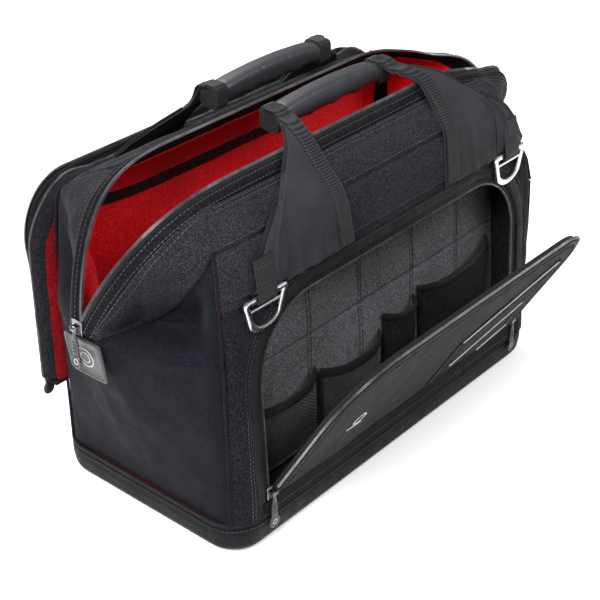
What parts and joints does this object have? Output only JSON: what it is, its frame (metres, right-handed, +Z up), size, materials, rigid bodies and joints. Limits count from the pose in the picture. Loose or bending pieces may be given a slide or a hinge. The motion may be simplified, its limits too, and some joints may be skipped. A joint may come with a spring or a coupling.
{
  "type": "flight bag",
  "caption": "Wide-mouth soft flight bag with padded handles, a red-lined main compartment, a zipped front organiser pocket with fold-down flap, and a zipped rear compartment.",
  "frame": {"origin": "middle of the flat underside that the bag stands on", "axes": "+X along the bag's length, -Y to the front pocket, +Z up"},
  "size_m": [0.6126, 0.3588, 0.368],
  "materials": {
    "shell_fabric": "near-black heathered polyester, lightly padded",
    "base_fabric": "coated black fabric over the moulded base",
    "red_lining": "bright red quilted nylon",
    "dark_lining": "dark grey heathered lining",
    "mesh": "black knitted mesh",
    "webbing": "ribbed black nylon webbing",
    "zip": "black coil zip on woven tape",
    "grip_rubber": "slate grey moulded rubber",
    "patch_rubber": "black moulded rubber",
    "slider_metal": "black enamelled zinc",
    "ring_metal": "satin nickel-plated wire",
    "stay_steel": "flat spring-steel stay",
    "board": "stiffening board",
    "elastic": "black elastic"
  },
  "bodies": {
    "bag_body": {"base_tray": "base_fabric", "base_board": "board", "lining_floor": "red_lining", "front_frame_panel": "shell_fabric", "front_pocket_gusset": "dark_lining", "front_pocket_back": "dark_lining", "front_pocket_zip": "zip", "mesh_pockets": "mesh", "fabric_pockets": "dark_lining", "lining_front": "red_lining", "rear_wall": "shell_fabric", "lining_rear": "red_lining", "rear_compartment_gusset": "shell_fabric", "rear_compartment_zip": "zip", "inner_pocket": "red_lining", "inner_elastic_band": "elastic", "end_panel_left": "shell_fabric", "end_panel_right": "shell_fabric", "lining_ends": "red_lining", "zip_end_patches": "patch_rubber", "d_ring_tabs": "webbing", "yoke_front": "shell_fabric", "yoke_rear": "shell_fabric", "end_gussets_front": "shell_fabric", "end_gussets_rear": "shell_fabric", "mouth_zip_ends_front": "zip", "mouth_zip_ends_rear": "zip"},
    "mouth_front": {"mouth_hem_front": "webbing", "mouth_stay_front": "stay_steel", "mouth_zip_front": "zip"},
    "mouth_rear": {"mouth_hem_rear": "webbing", "mouth_stay_rear": "stay_steel", "mouth_zip_rear": "zip"},
    "front_flap": {"front_flap_panel": "shell_fabric", "front_flap_lining": "dark_lining", "front_flap_zip": "zip", "front_flap_pocket": "shell_fabric"},
    "rear_flap": {"rear_flap_panel": "shell_fabric", "rear_flap_lining": "red_lining", "rear_flap_zip": "zip"},
    "handle_front": {"grip_front": "grip_rubber", "handle_wings_front": "webbing", "handle_webbing_front": "webbing"},
    "handle_rear": {"grip_rear": "grip_rubber", "handle_wings_rear": "webbing", "handle_webbing_rear": "webbing"},
    "d_ring_left": {"d_ring_left": "ring_metal"},
    "d_ring_right": {"d_ring_right": "ring_metal"},
    "slider_front_left": {"slider_front_left": "slider_metal"},
    "pull_front_left": {"pull_front_left": "patch_rubber"},
    "slider_rear_left": {"slider_rear_left": "slider_metal"},
    "pull_rear_left": {"pull_rear_left": "patch_rubber"},
    "slider_main_left": {"slider_main_left": "slider_metal"},
    "pull_main_left": {"pull_main_left": "patch_rubber"},
    "slider_front_right": {"slider_front_right": "slider_metal"},
    "pull_front_right": {"pull_front_right": "patch_rubber"},
    "slider_rear_right": {"slider_rear_right": "slider_metal"},
    "pull_rear_right": {"pull_rear_right": "patch_rubber"},
    "slider_main_right": {"slider_main_right": "slider_metal"},
    "pull_main_right": {"pull_main_right": "patch_rubber"}
  },
  "joints": [
    {"name": "mouth_front_hinge", "type": "hinge", "parent": "bag_body", "child": "mouth_front", "pos_m": [0, -0.066, 0.236], "axis": [1, 0, 0], "range_deg": [-31, 0], "deforming": ["yoke_front", "end_gussets_front", "mouth_zip_ends_front"]},
    {"name": "mouth_rear_hinge", "type": "hinge", "parent": "bag_body", "child": "mouth_rear", "pos_m": [0, 0.08, 0.24], "axis": [1, 0, 0], "range_deg": [0, 15.5], "deforming": ["yoke_rear", "end_gussets_rear", "mouth_zip_ends_rear"]},
    {"name": "front_flap_hinge", "type": "hinge", "parent": "bag_body", "child": "front_flap", "pos_m": [0, -0.11853, 0.0485], "axis": [1, 0, 0], "range_deg": [-34, 65]},
    {"name": "rear_flap_hinge", "type": "hinge", "parent": "bag_body", "child": "rear_flap", "pos_m": [0, 0.1215, 0.105], "axis": [-1, 0, 0], "range_deg": [-8.5, 90]},
    {"name": "handle_front_hinge", "type": "hinge", "parent": "bag_body", "child": "handle_front", "pos_m": [0, -0.1095, 0.257], "axis": [1, 0, 0], "range_deg": [0, 110]},
    {"name": "handle_rear_hinge", "type": "hinge", "parent": "bag_body", "child": "handle_rear", "pos_m": [0, 0.1005, 0.306], "axis": [-1, 0, 0], "range_deg": [0, 110]},
    {"name": "d_ring_left_swing", "type": "hinge", "parent": "bag_body", "child": "d_ring_left", "pos_m": [-0.186, -0.1098, 0.2565], "axis": [-1, 0, 0], "range_deg": [0, 140]},
    {"name": "d_ring_right_swing", "type": "hinge", "parent": "bag_body", "child": "d_ring_right", "pos_m": [0.186, -0.1098, 0.2565], "axis": [-1, 0, 0], "range_deg": [0, 140]},
    {"name": "slider_front_left_slide", "type": "slide", "parent": "bag_body", "child": "slider_front_left", "axis": [0, 0.0627, 0.998], "range_m": [0, 0.1]},
    {"name": "pull_front_left_swing", "type": "hinge", "parent": "slider_front_left", "child": "pull_front_left", "pos_m": [-0.1935, -0.12152, 0.05675], "axis": [-1, 0, 0], "range_deg": [0, 110]},
    {"name": "slider_rear_left_slide", "type": "slide", "parent": "bag_body", "child": "slider_rear_left", "axis": [0, 0, 1], "range_m": [0, 0.015]},
    {"name": "pull_rear_left_swing", "type": "hinge", "parent": "slider_rear_left", "child": "pull_rear_left", "pos_m": [-0.2395, 0.125, 0.11775], "axis": [1, 0, 0], "range_deg": [0, 110]},
    {"name": "slider_main_left_slide", "type": "slide", "parent": "bag_body", "child": "slider_main_left", "axis": [0.1771, -0.1968, 0.9643], "range_m": [0, 0.015]},
    {"name": "pull_main_left_swing", "type": "hinge", "parent": "slider_main_left", "child": "pull_main_left", "pos_m": [-0.304, 0, 0.23325], "axis": [0, 1, 0], "range_deg": [0, 110]},
    {"name": "slider_front_right_slide", "type": "slide", "parent": "bag_body", "child": "slider_front_right", "axis": [0, 0.0627, 0.998], "range_m": [0, 0.1]},
    {"name": "pull_front_right_swing", "type": "hinge", "parent": "slider_front_right", "child": "pull_front_right", "pos_m": [0.1935, -0.12152, 0.05675], "axis": [-1, 0, 0], "range_deg": [0, 110]},
    {"name": "slider_rear_right_slide", "type": "slide", "parent": "bag_body", "child": "slider_rear_right", "axis": [0, 0, 1], "range_m": [0, 0.015]},
    {"name": "pull_rear_right_swing", "type": "hinge", "parent": "slider_rear_right", "child": "pull_rear_right", "pos_m": [0.2395, 0.125, 0.11775], "axis": [1, 0, 0], "range_deg": [0, 110]},
    {"name": "slider_main_right_slide", "type": "slide", "parent": "bag_body", "child": "slider_main_right", "axis": [-0.1771, -0.1968, 0.9643], "range_m": [0, 0.015]},
    {"name": "pull_main_right_swing", "type": "hinge", "parent": "slider_main_right", "child": "pull_main_right", "pos_m": [0.304, 0, 0.23325], "axis": [0, -1, 0], "range_deg": [0, 110]}
  ]
}
